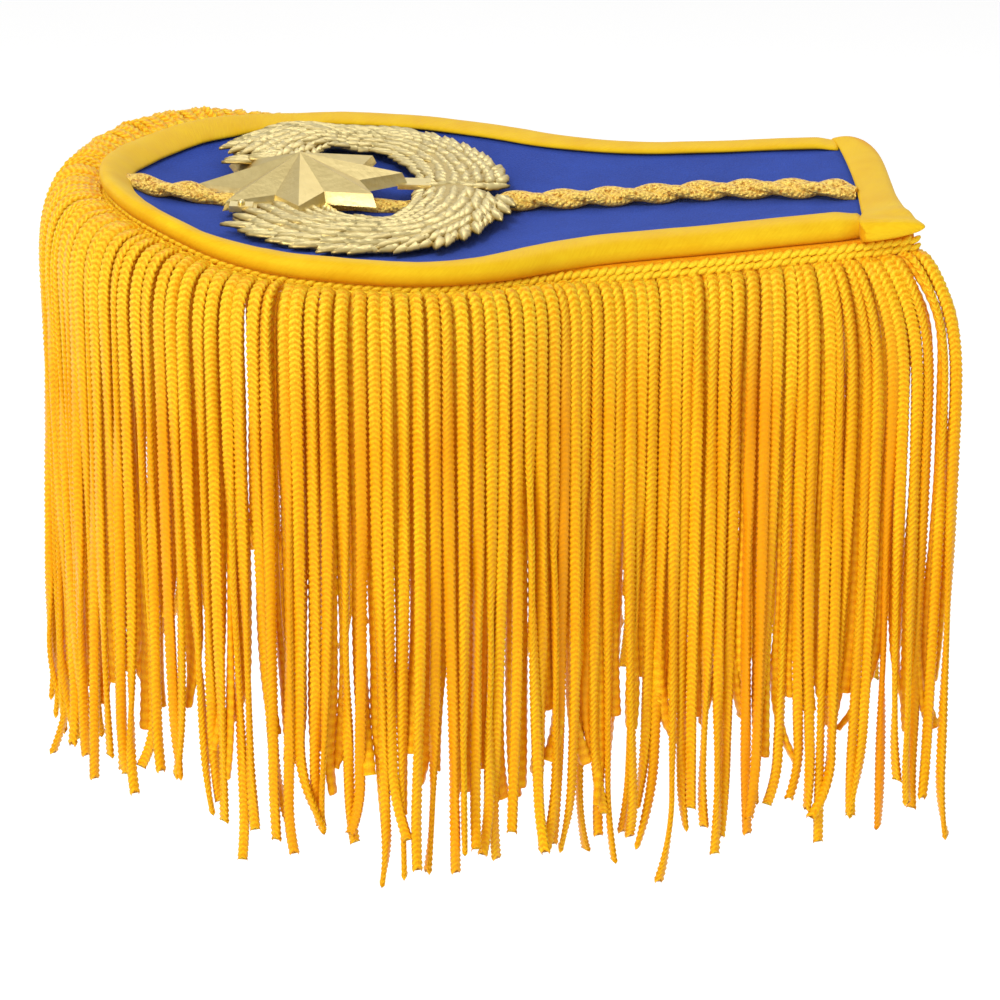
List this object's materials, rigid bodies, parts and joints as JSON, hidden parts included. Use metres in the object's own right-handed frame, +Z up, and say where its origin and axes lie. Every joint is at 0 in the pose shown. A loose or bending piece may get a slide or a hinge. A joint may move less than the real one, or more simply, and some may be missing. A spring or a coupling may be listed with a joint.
{
  "type": "fringe epaulette",
  "caption": "Costume shoulder piece: a blue felt board with satin edges, a gold braid, a brass wreath and star badge, and a long hanging cord fringe round its edge.",
  "frame": {"origin": "on the underside of the board at the lowest point of its dish, where the bar pin fastens it to a shoulder", "axes": "+X towards the neck end of the strap, -X to the round outer end, -Y to the front edge that the picture shows nearest, +Z up out of the badge"},
  "size_m": [0.177, 0.1265, 0.1319],
  "materials": {
    "blue_felt": "royal blue wool felt, matt and fuzzy",
    "yellow_satin": "yellow satin bias tape with a soft sheen",
    "gold_braid": "plaited gold lurex gimp",
    "badge_brass": "bright pale gold plated stamping",
    "fringe_cord": "golden yellow knitted rayon cord with a silky sheen",
    "pin_steel": "nickel plated"
  },
  "bodies": {
    "root": {"felt_board": "blue_felt", "edge_binding": "yellow_satin", "end_binding": "yellow_satin", "centre_braid": "gold_braid", "badge": "badge_brass", "fringe": "fringe_cord", "pin_back": "pin_steel"}
  },
  "joints": []
}
